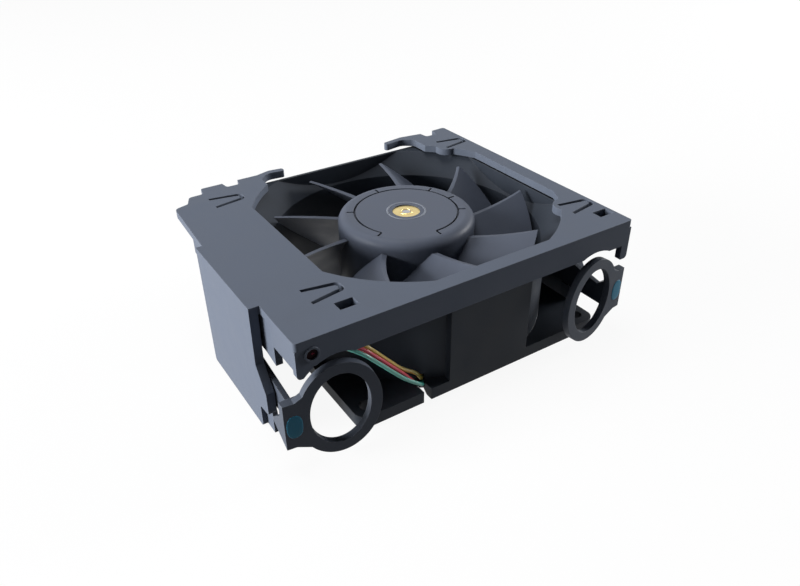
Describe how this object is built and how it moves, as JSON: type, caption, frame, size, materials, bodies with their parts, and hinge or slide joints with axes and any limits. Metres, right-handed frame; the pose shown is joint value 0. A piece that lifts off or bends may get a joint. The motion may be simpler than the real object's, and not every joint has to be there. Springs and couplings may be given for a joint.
{
  "type": "server fan module",
  "caption": "Hot-plug axial fan module: a ducted fan held in a moulded carrier with two squeeze-to-release finger-ring latches, a status lamp and a blind-mate plug.",
  "frame": {"origin": "on the fan's axis, in the plane of the outlet flange's face, at the middle of its four screw holes", "axes": "+Z along the fan's axis towards the inlet and the carrier's plate, -Y towards the finger rings, +X to the right seen from the rings' side"},
  "size_m": [0.1218, 0.1027, 0.041],
  "materials": {
    "carrier_plastic": "fine-textured grey-blue moulded plastic",
    "latch_plastic": "fine-textured dark grey moulded plastic",
    "frame_plastic": "glass-filled black plastic, satin",
    "impeller_plastic": "glass-filled black plastic, satin",
    "brass": "turned brass",
    "shaft_steel": "ground steel",
    "yoke_steel": "deep-drawn steel",
    "magnet": "bonded ferrite",
    "spring_steel": "spring steel",
    "clip_plastic": "natural nylon",
    "bearing_steel": "polished bearing steel",
    "lamination_steel": "stacked electrical steel",
    "insulator_plastic": "natural moulded plastic",
    "copper_winding": "enamelled copper wire",
    "board_laminate": "green solder mask",
    "chip_epoxy": "black moulding epoxy",
    "red_insulation": "PVC insulation",
    "black_insulation": "PVC insulation",
    "yellow_insulation": "PVC insulation",
    "teal_insulation": "PVC insulation",
    "plug_plastic": "black moulded plastic",
    "contact_brass": "plated brass",
    "lamp_lens": "tinted epoxy lens"
  },
  "bodies": {
    "module": {"carrier": "carrier_plastic", "fan_frame": "frame_plastic", "bearing_upper": "bearing_steel", "bearing_lower": "bearing_steel", "bearing_tube": "brass", "stator_core": "lamination_steel", "stator_insulators": "insulator_plastic", "stator_coils": "copper_winding", "motor_board": "board_laminate", "board_chips": "chip_epoxy", "wire_red": "red_insulation", "wire_black": "black_insulation", "wire_yellow": "yellow_insulation", "wire_teal": "teal_insulation", "plug_housing": "plug_plastic", "plug_contacts": "contact_brass", "status_lamp": "lamp_lens", "lamp_wire_a": "black_insulation", "lamp_wire_b": "red_insulation"},
    "rotor": {"impeller": "impeller_plastic", "hub_bush": "brass", "shaft": "shaft_steel", "rotor_yoke": "yoke_steel", "rotor_magnet": "magnet", "preload_washer": "spring_steel", "shaft_clip": "clip_plastic"},
    "left_latch_arm": {"latch_left": "latch_plastic"},
    "right_latch_arm": {"latch_right": "latch_plastic"}
  },
  "joints": [
    {"name": "rotor_spin", "type": "hinge", "parent": "module", "child": "rotor", "pos_m": [0, 0, 0], "axis": [0, 0, 1], "continuous": true},
    {"name": "latch_left_squeeze", "type": "hinge", "parent": "module", "child": "left_latch_arm", "pos_m": [-0.06445, -0.018, 0.017], "axis": [0, 0, 1], "range_deg": [0, 5], "stiffness_Nm_per_rad": 0.9},
    {"name": "latch_right_squeeze", "type": "hinge", "parent": "module", "child": "right_latch_arm", "pos_m": [0.04705, -0.018, 0.017], "axis": [0, 0, 1], "range_deg": [-5, 0], "stiffness_Nm_per_rad": 0.9}
  ]
}
